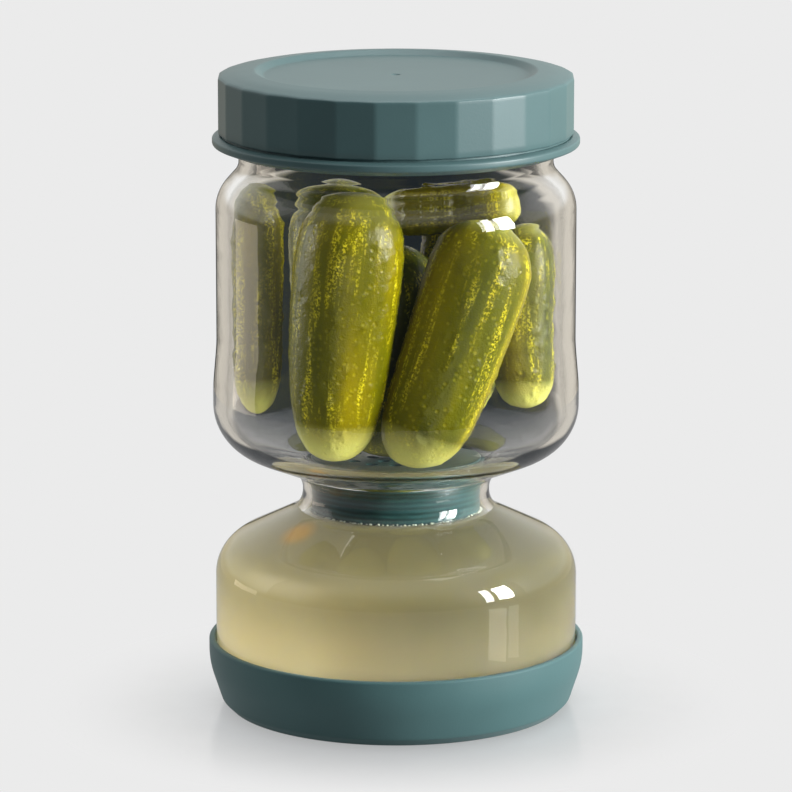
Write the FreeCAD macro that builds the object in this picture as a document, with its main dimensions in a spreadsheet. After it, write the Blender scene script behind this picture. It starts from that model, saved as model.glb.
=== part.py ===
# Hourglass pickle jar: a glass vessel of two chambers joined by a waist, a strainer that sits in the
# waist, brine in the lower chamber, gherkins drained in the upper one, a facetted screw lid and a soft
# foot. Millimetres. The jar's axis is Z, and the foot stands on z = 0.

import FreeCAD, Part
import Sketcher
import math
import os

doc = FreeCAD.newDocument("pickle_jar")
axisZ = FreeCAD.Vector(0, 0, 1)

# ---------------------------------------------------------------- driving dimensions

sizes = [
    # glass, lengths along the axis
    ("lowerHeight", 54.4, "underside of the glass to the lower flank's meeting with the waist"),
    ("waistLength", 9.1, "between the two flanks' meetings with the waist"),
    ("upperHeight", 86.6, "from the waist to the shoulder's meeting with the neck"),
    ("neckHeight", 22.4, "from there to the mouth's rim"),
    ("heelHeight", 10.0, "height over which the heel widens to the full radius"),
    ("bulgeHeight", 15.0, "height of the upper wall's fullest part above its corner"),
    ("bulgeFade", 12.0, "height over which that fullness fades"),
    # glass, across the axis
    ("bodyRadius", 49.95, "outer radius of the upper chamber's straight wall"),
    ("bulge", 1.05, "how much fuller the upper wall is low down"),
    ("lowerStep", 0.6, "how much wider the lower chamber is than the upper wall"),
    ("heelInset", 3.9, "how much narrower the heel is than the lower chamber"),
    ("waistRadius", 26.1, "outer radius of the waist"),
    ("shoulderInset", 6.45, "how much narrower the neck is than the upper wall"),
    # glass, walls and slopes
    ("wall", 3.4, "wall of both chambers and of the neck"),
    ("waistWall", 2.6, "wall of the waist"),
    ("glassFloor", 4.0, "thickness of the glass floor"),
    ("lowerSlope", 64.0, "lower flank, degrees from the axis"),
    ("upperSlope", 68.0, "upper flank, degrees from the axis"),
    ("neckSlope", 42.0, "shoulder under the neck, degrees from the axis"),
    # glass, rounds
    ("heelRound", 5.5, "outer round at the glass's underside"),
    ("innerHeelRound", 3.8, "inner round at the edge of the glass floor"),
    ("heelBlend", 22.0, "soft bend between heel and lower wall"),
    ("lowerShoulderRound", 12.0, "outer round of the lower chamber's shoulder"),
    ("lowerWaistRound", 7.0, "outer round under the waist"),
    ("upperWaistRound", 6.0, "outer round over the waist"),
    ("bellyRound", 15.0, "outer round at the foot of the upper chamber"),
    ("bulgeBlend", 50.0, "soft bends of the upper wall's fullness"),
    ("shoulderRound", 11.5, "outer round of the upper shoulder"),
    ("neckRound", 5.0, "outer round at the root of the neck"),
    ("rimRound", 1.2, "rounds of the mouth's rim"),
    # foot
    ("footFloor", 2.5, "thickness under the glass"),
    ("footWall", 1.75, "wall around the glass"),
    ("footGap", 0.3, "clearance around the glass"),
    ("footHeight", 19.3, "height of the foot's rim"),
    ("footEdge", 2.1, "height of the sloping edge at the ground"),
    ("footEdgeInset", 1.7, "how far that edge runs in"),
    ("footEdgeReach", 0.44, "how far the foot stands out over that edge, past the wall around the heel"),
    ("footRimRound", 0.7, "rounds of the foot's rim"),
    # lid
    ("lidGap", 0.8, "clearance around the neck"),
    ("lidPlate", 3.3, "thickness over the mouth, at the recess"),
    ("lidDrop", 17.2, "how far the skirt reaches below the mouth's rim"),
    ("skirtWall", 4.9, "wall of the facetted skirt, measured to the facets' edges"),
    ("facetDrop", 12.6, "how far the facets reach below the mouth's rim"),
    ("facetRise", 3.1, "height of the facets' upper edge above the mouth's rim"),
    ("crestRise", 1.4, "height of the crest above the recess"),
    ("crestInset", 10.3, "distance of the crest inside the facets' circle"),
    ("recessInset", 12.6, "distance of the recess inside the facets' circle"),
    ("crestRound", 1.6, "round of the crest"),
    ("crownInset", 5.15, "distance of the crown's bend inside the facets' circle"),
    ("crownDrop", 0.47, "depth of that bend below the crest"),
    ("crownRound", 30.0, "soft bend of the crown between crest and facets"),
    ("gateRadius", 1.3, "radius of the small dimple at the middle"),
    ("gateDepth", 0.6, "depth of that dimple"),
    ("grooveDepth", 0.7, "depth of the groove between facets and lip, from the facets' flats"),
    ("grooveWidth", 0.6, "height of that groove"),
    ("lipReach", 1.6, "how far the lip stands out from the facets' circle"),
    ("lipHeight", 2.4, "height of the lip at its edge"),
    ("lipUnderRound", 0.8, "round at the lip's lower edge"),
    ("lipEdgeRound", 0.6, "round at the lip's upper edge"),
    ("hemWall", 2.4, "wall of the skirt at its lower end, under the lip"),
    # strainer
    ("strainerGap", 0.2, "clearance inside the waist"),
    ("strainerWall", 1.8, "wall of the sleeve"),
    ("strainerLip", 1.2, "how far the lip reaches over the waist"),
    ("strainerPlate", 1.6, "thickness of the pierced plate"),
    ("strainerEdgeRound", 0.55, "round at the plate's upper edge"),
    ("strainerInnerRound", 0.9, "round between sleeve and plate, inside"),
    ("sieveHole", 3.6, "diameter of the holes"),
    ("sieveInnerRing", 6.6, "radius of the inner ring of holes"),
    ("sieveOuterRing", 13.4, "radius of the outer ring of holes"),
    # brine
    ("brineGap", 0.2, "clearance of the brine's solid inside the glass"),
    ("brineDrop", 0.3, "distance of the brine's level below the strainer"),
    ("sleeveDrop", 1.6, "distance of the sleeve's end below the lower flank's meeting with the waist"),
    # cutting
    ("cutMargin", 4.0, "how far a cutting outline reaches past what it cuts"),
]

facetCount = 28
innerHoles = 6
outerHoles = 12

sheet = doc.addObject("Spreadsheet::Sheet", "dims")
for row, (alias, value, note) in enumerate(sizes, start=1):
    sheet.set("A%d" % row, alias)
    sheet.set("B%d" % row, str(value))
    sheet.set("C%d" % row, note)
    sheet.setAlias("B%d" % row, alias)
doc.recompute()


# ---------------------------------------------------------------- places shared by several pieces

lowerRadius = "(dims.bodyRadius + dims.lowerStep)"
bellyRadius = "(dims.bodyRadius + dims.bulge)"
neckRadius = "(dims.bodyRadius - dims.shoulderInset)"
lidHollow = "(%s + dims.lidGap)" % neckRadius
facetCircle = "(%s + dims.skirtWall)" % lidHollow

waistLow = "(dims.footFloor + dims.lowerHeight)"
waistHigh = "(%s + dims.waistLength)" % waistLow
neckRoot = "(%s + dims.upperHeight)" % waistHigh
mouth = "(%s + dims.neckHeight)" % neckRoot

lowerShoulder = "(%s - (%s - dims.waistRadius) / tan(dims.lowerSlope))" % (waistLow, lowerRadius)
belly = "(%s + (%s - dims.waistRadius) / tan(dims.upperSlope))" % (waistHigh, bellyRadius)
shoulder = "(%s - dims.shoulderInset / tan(dims.neckSlope))" % neckRoot

# the same meetings on the inside of the wall: each moves along the axis by wall * tan(slope / 2)
innerWaistLow = "(%s - dims.waistWall * tan(dims.lowerSlope / 2))" % waistLow
innerWaistHigh = "(%s + dims.waistWall * tan(dims.upperSlope / 2))" % waistHigh
innerLowerShoulder = "(%s - dims.wall * tan(dims.lowerSlope / 2))" % lowerShoulder
innerBelly = "(%s + dims.wall * tan(dims.upperSlope / 2))" % belly
innerShoulder = "(%s - dims.wall * tan(dims.neckSlope / 2))" % shoulder
innerNeckRoot = "(%s - dims.wall * tan(dims.neckSlope / 2))" % neckRoot
innerFloor = "(dims.footFloor + dims.glassFloor)"

# ---------------------------------------------------------------- helpers


def originPlane(body, role):
    for feature in body.Origin.OriginFeatures:
        if feature.Role == role:
            return feature
    raise ValueError("no plane " + role)


def newBody(label):
    body = doc.addObject("PartDesign::Body", label)
    body.Label = label
    return body


def newSketch(body, name, role, height=None):
    sketch = body.newObject("Sketcher::SketchObject", name)
    sketch.AttachmentSupport = (originPlane(body, role), [""])
    sketch.MapMode = "FlatFace"
    if height:
        sketch.setExpression("AttachmentOffset.Base.z", height)
    return sketch


def evaluate(expression):
    return float(sheet.evalExpression(expression))


def pin(sketch, geometry, point, across, along):
    """Holds a point at a distance across (from the axis) and along it, each an expression."""
    if across == "0":
        sketch.addConstraint(Sketcher.Constraint("PointOnObject", geometry, point, -2))
    else:
        place = Sketcher.Constraint("DistanceX", -1, 1, geometry, point, evaluate(across))
        index = sketch.addConstraint(place)
        sketch.setExpression("Constraints[%d]" % index, across)
    if along == "0":
        sketch.addConstraint(Sketcher.Constraint("PointOnObject", geometry, point, -1))
    else:
        place = Sketcher.Constraint("DistanceY", -1, 1, geometry, point, evaluate(along))
        index = sketch.addConstraint(place)
        sketch.setExpression("Constraints[%d]" % index, along)


def outline(sketch, corners):
    """A closed outline through corners, each (across, along, round), with a round of None left sharp.

    A rounded corner gets an arc tangent to both of its lines, and the corner itself stays in the
    sketch as a construction point that both lines pass through.
    """
    count = len(corners)
    places = [FreeCAD.Vector(evaluate(corner[0]), evaluate(corner[1]), 0) for corner in corners]
    rounds = [evaluate(corner[2]) if corner[2] else 0.0 for corner in corners]

    entries = []
    exits = []
    for i in range(count):
        back = (places[i - 1] - places[i]).normalize()
        ahead = (places[(i + 1) % count] - places[i]).normalize()
        half = back.getAngle(ahead) / 2
        reach = rounds[i] / math.tan(half)
        entries.append(places[i] + back * reach)
        exits.append(places[i] + ahead * reach)

    lines = []
    for i in range(count):
        segment = Part.LineSegment(exits[i], entries[(i + 1) % count])
        lines.append(sketch.addGeometry(segment, False))

    for i in range(count):
        before = lines[i - 1]
        after = lines[i]
        across, along, size = corners[i]
        if size is None:
            sketch.addConstraint(Sketcher.Constraint("Coincident", before, 2, after, 1))
            pin(sketch, after, 1, across, along)
            continue
        inward = (entries[i] - places[i]) + (exits[i] - places[i])
        half = (entries[i] - places[i]).getAngle(exits[i] - places[i]) / 2
        middle = places[i] + inward.normalize() * (rounds[i] / math.sin(half))
        turn = (entries[i] - middle).cross(exits[i] - middle).z
        first, last = (entries[i], exits[i]) if turn > 0 else (exits[i], entries[i])
        angles = [math.atan2(p.y - middle.y, p.x - middle.x) for p in (first, last)]
        circle = Part.Circle(middle, axisZ, rounds[i])
        arc = sketch.addGeometry(Part.ArcOfCircle(circle, angles[0], angles[1]), False)
        startPoint, endPoint = (1, 2) if turn > 0 else (2, 1)
        corner = sketch.addGeometry(Part.Point(places[i]), True)
        pin(sketch, corner, 1, across, along)
        sketch.addConstraint(Sketcher.Constraint("PointOnObject", corner, 1, before))
        sketch.addConstraint(Sketcher.Constraint("PointOnObject", corner, 1, after))
        sketch.addConstraint(Sketcher.Constraint("Tangent", before, 2, arc, startPoint))
        sketch.addConstraint(Sketcher.Constraint("Tangent", arc, endPoint, after, 1))
        index = sketch.addConstraint(Sketcher.Constraint("Radius", arc, rounds[i]))
        sketch.setExpression("Constraints[%d]" % index, size)


def turned(body, name, corners, cut=False):
    """Adds (or cuts away) the outline turned once round the axis."""
    sketch = newSketch(body, name + "Outline", "XZ_Plane")
    outline(sketch, corners)
    doc.recompute()
    kind = "PartDesign::Groove" if cut else "PartDesign::Revolution"
    feature = body.newObject(kind, name)
    feature.Profile = sketch
    feature.ReferenceAxis = (sketch, ["V_Axis"])
    feature.Angle = 360
    sketch.Visibility = False
    volumeBefore = body.Shape.Volume if body.Shape.Solids else 0.0
    doc.recompute()
    grown = body.Shape.Volume - volumeBefore
    if (grown > 0) == cut:
        raise ValueError(name + " did not change the solid the right way")
    return feature


def ringOfHoles(body, name, ringRadius, count, height):
    """One hole down through the plate, repeated round the axis."""
    sketch = newSketch(body, name + "Sketch", "XY_Plane", height)
    hole = Part.Circle(FreeCAD.Vector(evaluate(ringRadius), 0, 0), axisZ, evaluate("dims.sieveHole / 2"))
    circle = sketch.addGeometry(hole, False)
    sketch.addConstraint(Sketcher.Constraint("PointOnObject", circle, 3, -1))
    if ringRadius == "0":
        sketch.addConstraint(Sketcher.Constraint("PointOnObject", circle, 3, -2))
    else:
        distance = Sketcher.Constraint("DistanceX", -1, 1, circle, 3, evaluate(ringRadius))
        index = sketch.addConstraint(distance)
        sketch.setExpression("Constraints[%d]" % index, ringRadius)
    index = sketch.addConstraint(Sketcher.Constraint("Diameter", circle, evaluate("dims.sieveHole")))
    sketch.setExpression("Constraints[%d]" % index, "dims.sieveHole")
    doc.recompute()
    volumeBefore = body.Shape.Volume
    pocket = body.newObject("PartDesign::Pocket", name)
    pocket.Profile = sketch
    pocket.setExpression("Length", "dims.strainerPlate + dims.cutMargin")
    doc.recompute()
    if count > 1:
        pattern = body.newObject("PartDesign::PolarPattern", name + "Pattern")
        pattern.Originals = [pocket]
        pattern.Axis = (sketch, ["N_Axis"])
        pattern.Angle = 360
        pattern.Occurrences = count
        body.Tip = pattern
        doc.recompute()
    if body.Shape.Volume >= volumeBefore:
        raise ValueError(name + " cut nothing")


# ---------------------------------------------------------------- glass


def makeGlass():
    """The vessel: outer form turned from its outline, then both chambers, waist and neck hollowed out."""
    body = newBody("glass_jar")
    turned(body, "GlassForm", [
        ("0", "dims.footFloor", None),
        ("%s - dims.heelInset" % lowerRadius, "dims.footFloor", "dims.heelRound"),
        (lowerRadius, "dims.footFloor + dims.heelHeight", "dims.heelBlend"),
        (lowerRadius, lowerShoulder, "dims.lowerShoulderRound"),
        ("dims.waistRadius", waistLow, "dims.lowerWaistRound"),
        ("dims.waistRadius", waistHigh, "dims.upperWaistRound"),
        (bellyRadius, belly, "dims.bellyRound"),
        (bellyRadius, "%s + dims.bulgeHeight" % belly, "dims.bulgeBlend"),
        ("dims.bodyRadius", "%s + dims.bulgeHeight + dims.bulgeFade" % belly, "dims.bulgeBlend"),
        ("dims.bodyRadius", shoulder, "dims.shoulderRound"),
        (neckRadius, neckRoot, "dims.neckRound"),
        (neckRadius, mouth, "dims.rimRound"),
        ("0", mouth, None),
    ])
    turned(body, "GlassHollow", innerOutline() + [
        ("%s - dims.wall" % bellyRadius, innerBelly, "dims.bellyRound - dims.wall"),
        ("%s - dims.wall" % bellyRadius, "%s + dims.bulgeHeight" % belly, "dims.bulgeBlend"),
        ("dims.bodyRadius - dims.wall", "%s + dims.bulgeHeight + dims.bulgeFade" % belly,
         "dims.bulgeBlend"),
        ("dims.bodyRadius - dims.wall", innerShoulder, "dims.shoulderRound - dims.wall"),
        ("%s - dims.wall" % neckRadius, innerNeckRoot, "dims.neckRound + dims.wall"),
        ("%s - dims.wall" % neckRadius, "%s + dims.cutMargin" % mouth, None),
        ("0", "%s + dims.cutMargin" % mouth, None),
    ], cut=True)
    return body


def innerOutline(gap="0"):
    """The hollow from the middle of the floor up to the top of the waist, taken in by a gap."""
    return [
        ("0", innerFloor, None),
        ("%s - dims.heelInset - dims.wall - %s" % (lowerRadius, gap), innerFloor,
         "dims.innerHeelRound"),
        ("%s - dims.wall - %s" % (lowerRadius, gap), "%s + dims.heelHeight" % innerFloor,
         "dims.heelBlend"),
        ("%s - dims.wall - %s" % (lowerRadius, gap),
         "%s - %s * tan(dims.lowerSlope / 2)" % (innerLowerShoulder, gap),
         "dims.lowerShoulderRound - dims.wall"),
        ("dims.waistRadius - dims.waistWall - %s" % gap,
         "%s - %s * tan(dims.lowerSlope / 2)" % (innerWaistLow, gap),
         "dims.lowerWaistRound + dims.waistWall"),
        ("dims.waistRadius - dims.waistWall - %s" % gap, innerWaistHigh,
         "dims.upperWaistRound + dims.waistWall"),
    ]


# ---------------------------------------------------------------- strainer and brine

sleeveEnd = "(%s - dims.sleeveDrop)" % waistLow
sleeveRadius = "(dims.waistRadius - dims.waistWall - dims.strainerGap)"
flareRound = "(dims.upperWaistRound + dims.waistWall)"
flareStart = "(%s - %s * tan(dims.upperSlope / 2))" % (innerWaistHigh, flareRound)
# the lip rests where the flare over the waist has grown by the lip's reach
strainerSeat = "(%s + sqrt(%s ^ 2 - (%s - dims.strainerLip) ^ 2))" % (flareStart, flareRound, flareRound)
strainerTop = "(%s + dims.strainerPlate)" % strainerSeat
brineLevel = "(%s - dims.brineDrop)" % sleeveEnd


def makeStrainer():
    """A short sleeve through the waist, closed at the top by a pierced plate whose edge is the lip."""
    body = newBody("strainer")
    lipRadius = "%s + dims.strainerLip" % sleeveRadius
    turned(body, "StrainerForm", [
        ("0", "%s - dims.strainerWall" % strainerSeat, None),
        ("%s - dims.strainerWall" % sleeveRadius, "%s - dims.strainerWall" % strainerSeat,
         "dims.strainerInnerRound"),
        ("%s - dims.strainerWall" % sleeveRadius, sleeveEnd, None),
        (sleeveRadius, sleeveEnd, None),
        (sleeveRadius, strainerSeat, None),
        (lipRadius, strainerSeat, None),
        (lipRadius, strainerTop, "dims.strainerEdgeRound"),
        ("0", strainerTop, None),
    ])
    ringOfHoles(body, "MiddleHole", "0", 1, strainerTop)
    ringOfHoles(body, "InnerHole", "dims.sieveInnerRing", innerHoles, strainerTop)
    ringOfHoles(body, "OuterHole", "dims.sieveOuterRing", outerHoles, strainerTop)
    return body


def makeBrine():
    """Brine from the floor up to its level, just short of the glass all round."""
    body = newBody("brine")
    turned(body, "BrineForm", innerOutline("dims.brineGap")[:-1] + [
        ("dims.waistRadius - dims.waistWall - dims.brineGap", waistHigh, None),
        ("0", waistHigh, None),
    ])
    turned(body, "BrineLevel", [
        ("0", brineLevel, None),
        (lowerRadius, brineLevel, None),
        (lowerRadius, "%s + dims.cutMargin" % waistHigh, None),
        ("0", "%s + dims.cutMargin" % waistHigh, None),
    ], cut=True)
    return body


# ---------------------------------------------------------------- foot


def makeFoot():
    """A soft cup pulled over the heel of the glass."""
    body = newBody("foot")
    heelRadius = "(%s - dims.heelInset + dims.footGap + dims.footWall)" % lowerRadius
    fullRadius = "(%s + dims.footGap + dims.footWall)" % lowerRadius
    turned(body, "FootForm", [
        ("0", "0", None),
        ("%s - dims.footEdgeInset" % heelRadius, "0", "dims.footRimRound"),
        ("%s + dims.footEdgeReach" % heelRadius, "dims.footEdge", "dims.footEdge"),
        (fullRadius, "dims.footFloor + dims.heelHeight", "dims.heelBlend"),
        (fullRadius, "dims.footHeight", "dims.footRimRound"),
        ("0", "dims.footHeight", None),
    ])
    turned(body, "FootHollow", [
        ("0", "dims.footFloor", None),
        ("%s - dims.footWall" % heelRadius, "dims.footFloor", "dims.heelRound"),
        ("%s - dims.footWall" % fullRadius, "dims.footFloor + dims.heelHeight", "dims.heelBlend"),
        ("%s - dims.footWall" % fullRadius, "dims.footHeight - dims.footRimRound", None),
        (fullRadius, "dims.footHeight + dims.cutMargin", None),
        ("0", "dims.footHeight + dims.cutMargin", None),
    ], cut=True)
    return body


# ---------------------------------------------------------------- lid


def makeLid():
    """A shallow cap: turned skirt and lip, a prism of flat facets, then crown, recess and hollow cut."""
    body = newBody("lid")
    facetFlat = "(%s * cos(180 / %d))" % (facetCircle, facetCount)
    grooveRadius = "(%s - dims.grooveDepth)" % facetFlat
    hemRadius = "(%s + dims.hemWall)" % lidHollow
    lipRadius = "(%s + dims.lipReach)" % facetCircle
    lidEnd = "(%s - dims.lidDrop)" % mouth
    facetEnd = "(%s - dims.facetDrop)" % mouth
    facetTop = "(%s + dims.facetRise)" % mouth
    lipTop = "(%s - dims.grooveWidth)" % facetEnd
    recess = "(%s + dims.lidPlate)" % mouth
    crest = "(%s + dims.crestRise)" % recess

    turned(body, "LidSkirt", [
        ("0", lidEnd, None),
        (hemRadius, lidEnd, None),
        (lipRadius, "%s - dims.lipHeight" % lipTop, "dims.lipUnderRound"),
        (lipRadius, "%s - dims.grooveWidth" % lipTop, "dims.lipEdgeRound"),
        (facetFlat, lipTop, None),
        (grooveRadius, lipTop, None),
        (grooveRadius, "%s + dims.grooveWidth" % facetEnd, None),
        ("0", "%s + dims.grooveWidth" % facetEnd, None),
    ])
    makeFacets(body, facetEnd, "dims.facetDrop + dims.lidPlate + dims.cutMargin")
    turned(body, "LidCrown", [
        ("0", recess, None),
        ("%s - dims.recessInset" % facetCircle, recess, "dims.crestRound"),
        ("%s - dims.crestInset" % facetCircle, crest, "dims.crestRound"),
        ("%s - dims.crownInset" % facetCircle, "%s - dims.crownDrop" % crest, "dims.crownRound"),
        (facetCircle, facetTop, None),
        (lipRadius, facetTop, None),
        (lipRadius, "%s + dims.crestRise + dims.cutMargin" % recess, None),
        ("0", "%s + dims.crestRise + dims.cutMargin" % recess, None),
    ], cut=True)
    turned(body, "LidGate", [
        ("0", "%s - dims.gateDepth" % recess, None),
        ("dims.gateRadius / 2", "%s - dims.gateDepth" % recess, None),
        ("dims.gateRadius", recess, None),
        ("dims.gateRadius", crest, None),
        ("0", crest, None),
    ], cut=True)
    turned(body, "LidHollow", [
        ("0", "%s - dims.cutMargin" % lidEnd, None),
        (lidHollow, "%s - dims.cutMargin" % lidEnd, None),
        (lidHollow, mouth, None),
        ("0", mouth, None),
    ], cut=True)
    return body


def makeFacets(body, bottom, height):
    """A regular prism with one flat facing -Y."""
    sketch = newSketch(body, "FacetSketch", "XY_Plane", bottom)
    radius = evaluate(facetCircle)
    step = 2 * math.pi / facetCount
    start = -math.pi / 2 - step / 2
    corners = []
    for i in range(facetCount):
        angle = start + i * step
        corners.append(FreeCAD.Vector(radius * math.cos(angle), radius * math.sin(angle), 0))
    circle = sketch.addGeometry(Part.Circle(FreeCAD.Vector(), axisZ, radius), True)
    sketch.addConstraint(Sketcher.Constraint("Coincident", circle, 3, -1, 1))
    index = sketch.addConstraint(Sketcher.Constraint("Radius", circle, radius))
    sketch.setExpression("Constraints[%d]" % index, facetCircle)
    sides = []
    for i in range(facetCount):
        side = Part.LineSegment(corners[i], corners[(i + 1) % facetCount])
        sides.append(sketch.addGeometry(side, False))
    for i in range(facetCount):
        following = sides[(i + 1) % facetCount]
        sketch.addConstraint(Sketcher.Constraint("Coincident", sides[i], 2, following, 1))
        sketch.addConstraint(Sketcher.Constraint("PointOnObject", sides[i], 1, circle))
    for side in sides[1:]:
        sketch.addConstraint(Sketcher.Constraint("Equal", sides[0], side))
    sketch.addConstraint(Sketcher.Constraint("Horizontal", sides[0]))
    doc.recompute()
    pad = body.newObject("PartDesign::Pad", "Facets")
    pad.Profile = sketch
    pad.setExpression("Length", height)
    sketch.Visibility = False
    doc.recompute()


# ---------------------------------------------------------------- gherkins

# Each gherkin stands or lies between its two tips. Their places, in the upper chamber, and the girth
# are shares of the chamber's inner radius, measured from the axis and from the corner above the flank,
# because the pile fills the chamber. A height below that corner is a share of the depth from the corner
# down to the strainer. Then come how much slimmer the first tip's end is than the other, the bearing
# towards which the middle bows, in degrees about the gherkin's own length, and how far it bows.
gherkins = {
    "gherkin_front_left": ((-0.365, -0.60, -0.31), (-0.225, -0.59, 1.53), 0.36, 0.31, 200, 0.02),
    "gherkin_front_right": ((0.065, -0.615, -0.50), (0.565, -0.44, 1.35), 0.325, 0.17, 20, 0.02),
    "gherkin_left": ((-0.826, -0.11, 0.12), (-0.822, -0.07, 1.50), 0.165, 0.10, 90, 0.02),
    "gherkin_right": ((0.78, 0.02, 0.12), (0.785, 0.16, 1.22), 0.215, 0.08, 180, 0.02),
    "gherkin_back_right": ((0.35, 0.57, -0.31), (0.41, 0.57, 1.24), 0.30, 0.15, 0, 0.02),
    "gherkin_back_left": ((-0.33, 0.56, -0.31), (-0.37, 0.59, 1.43), 0.318, 0.15, 180, 0.02),
    "gherkin_middle": ((-0.05, 0.04, -0.955), (-0.03, 0.05, 1.12), 0.34, 0.15, 200, 0.02),
    "gherkin_top": ((-0.05, 0.28, 1.245), (0.70, -0.23, 1.41), 0.175, 0.1, 90, 0.02),
}
pileHeight = 1.6        # height of the pile's space, in inner radii, for which the shares are given
sectionCount = 12       # sections along a gherkin
bluntness = 5           # how square its ends are: 2 is an ellipse


def gherkinShape(length, girth, taper, bowBearing, bow):
    """Round sections of radius girth * sqrt(1 - |2t - 1| ^ bluntness), slimmer towards t = 0."""
    sections = [Part.Vertex(0, 0, 0)]
    for i in range(1, sectionCount):
        share = (1 - math.cos(math.pi * i / sectionCount)) / 2
        fullness = math.sqrt(1 - abs(2 * share - 1) ** bluntness)
        radius = girth * fullness * (1 - taper * (1 - share))
        aside = 4 * bow * share * (1 - share)
        bearing = math.radians(bowBearing)
        middle = FreeCAD.Vector(aside * math.cos(bearing), aside * math.sin(bearing), share * length)
        sections.append(Part.Wire(Part.Circle(middle, axisZ, radius).toShape()))
    sections.append(Part.Vertex(0, 0, length))
    return Part.makeLoft(sections, True, False)


def makeGherkins():
    """Lays every gherkin in the chamber, stretched along the axis as far as the chamber is."""
    inner = evaluate("dims.bodyRadius - dims.wall")
    floor = evaluate(innerBelly)
    lengthening = (evaluate(neckRoot) - floor) / (pileHeight * inner)
    depth = (floor - evaluate(strainerTop)) / lengthening
    stretch = FreeCAD.Matrix()
    stretch.scale(1, 1, lengthening)
    made = []
    for label, (footShare, headShare, girth, taper, bowBearing, bow) in gherkins.items():
        foot = FreeCAD.Vector(*footShare) * inner
        if foot.z < 0:
            foot.z = footShare[2] * depth
        head = FreeCAD.Vector(*headShare) * inner
        lean = FreeCAD.Placement(foot, FreeCAD.Rotation(axisZ, head - foot))
        length = (head - foot).Length
        shape = gherkinShape(length, girth * inner, taper, bowBearing, bow * inner)
        feature = doc.addObject("Part::Feature", label)
        feature.Label = label
        feature.Shape = shape.transformGeometry(stretch * lean.toMatrix())
        feature.Placement = FreeCAD.Placement(FreeCAD.Vector(0, 0, floor), FreeCAD.Rotation())
        made.append(feature)
    return made


# ---------------------------------------------------------------- build, check and write

subParts = [makeGlass(), makeStrainer(), makeBrine(), makeFoot(), makeLid()] + makeGherkins()
doc.recompute()

for thing in doc.Objects:
    if "Invalid" in thing.State or "Error" in thing.State:
        raise ValueError("%s is %s" % (thing.Name, thing.State))

os.makedirs("parts", exist_ok=True)
for part in subParts:
    if part.Shape.isNull() or not part.Shape.isValid() or len(part.Shape.Solids) != 1:
        raise ValueError("%s is not one sound solid" % part.Label)

for part in subParts:
    part.Shape.exportStep("parts/%s.step" % part.Label)
    print("%-22s %9.1f mm3" % (part.Label, part.Shape.Volume))
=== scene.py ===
import bpy
import numpy as np
from math import pi, radians
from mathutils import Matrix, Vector


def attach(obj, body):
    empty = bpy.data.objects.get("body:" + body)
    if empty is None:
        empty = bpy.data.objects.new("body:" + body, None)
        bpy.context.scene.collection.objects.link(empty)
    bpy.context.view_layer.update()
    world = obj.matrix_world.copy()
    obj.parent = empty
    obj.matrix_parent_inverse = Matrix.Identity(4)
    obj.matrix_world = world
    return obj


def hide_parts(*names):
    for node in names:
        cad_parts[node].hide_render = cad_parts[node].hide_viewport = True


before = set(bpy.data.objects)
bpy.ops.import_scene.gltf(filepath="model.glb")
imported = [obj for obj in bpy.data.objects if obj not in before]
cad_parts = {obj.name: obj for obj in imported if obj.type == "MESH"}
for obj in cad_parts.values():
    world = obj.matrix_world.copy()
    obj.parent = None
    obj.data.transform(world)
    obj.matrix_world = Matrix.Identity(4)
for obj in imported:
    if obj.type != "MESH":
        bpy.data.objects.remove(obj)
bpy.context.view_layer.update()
mm = 0.001


# hex sRGB to the linear colour that shaders take: c / 12.92 up to 0.04045, and above that
# ((c + 0.055) / 1.055) to the power of 2.4
def linear(hexCode):
    parts = np.array([int(hexCode[i:i + 2], 16) for i in (1, 3, 5)]) / 255
    low, high = parts / 12.92, ((parts + 0.055) / 1.055) ** 2.4
    return (*np.where(parts <= 0.04045, low, high).tolist(), 1.0)


# a pattern's scale, from the size of its features in mm: one over that size in metres
def scaleFor(size):
    return 1 / (size * mm)


# adds one node: settings are its properties, stops a ramp's (place, hex) pairs, and inputs its
# sockets by name, or by number as i0, i1; a socket given as an input is linked
def add(tree, kind, settings=None, stops=None, **inputs):
    made = tree.nodes.new(kind)
    for key, value in (settings or {}).items():
        setattr(made, key, value)
    if stops:
        band = made.color_ramp.elements
        band.remove(band[1])
        band[0].position, band[0].color = stops[0][0], linear(stops[0][1])
        for place, hexCode in stops[1:]:
            band.new(place).color = linear(hexCode)
    for key, value in inputs.items():
        name = key.replace("_", " ")
        numbered = name[0] == "i" and name[1:].isdigit()
        socket = made.inputs[int(name[1:])] if numbered else made.inputs[name]
        if isinstance(value, bpy.types.NodeSocket):
            tree.links.new(value, socket)
        else:
            socket.default_value = value
    return made


# settings that several nodes share
times, timesPlus = {"operation": "MULTIPLY"}, {"operation": "MULTIPLY_ADD"}
smooth, colours = {"interpolation_type": "SMOOTHSTEP"}, {"data_type": "RGBA"}


# empty material and its node tree
def newMaterial(name):
    material = bpy.data.materials.new(name)
    material.use_nodes = True
    material.node_tree.nodes.clear()
    return material, material.node_tree


# object from points in mm and faces, smooth, but sharp where faces meet at more than the angle
def meshPiece(name, points, faces, smoothAngle=None):
    mesh = bpy.data.meshes.new(name)
    mesh.from_pydata((points * mm).tolist(), [], faces)
    mesh.validate()
    mesh.update()
    mesh.shade_smooth()
    if smoothAngle:
        mesh.set_sharp_from_angle(angle=radians(smoothAngle))
    piece = bpy.data.objects.new(name, mesh)
    bpy.context.scene.collection.objects.link(piece)
    return piece


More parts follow.
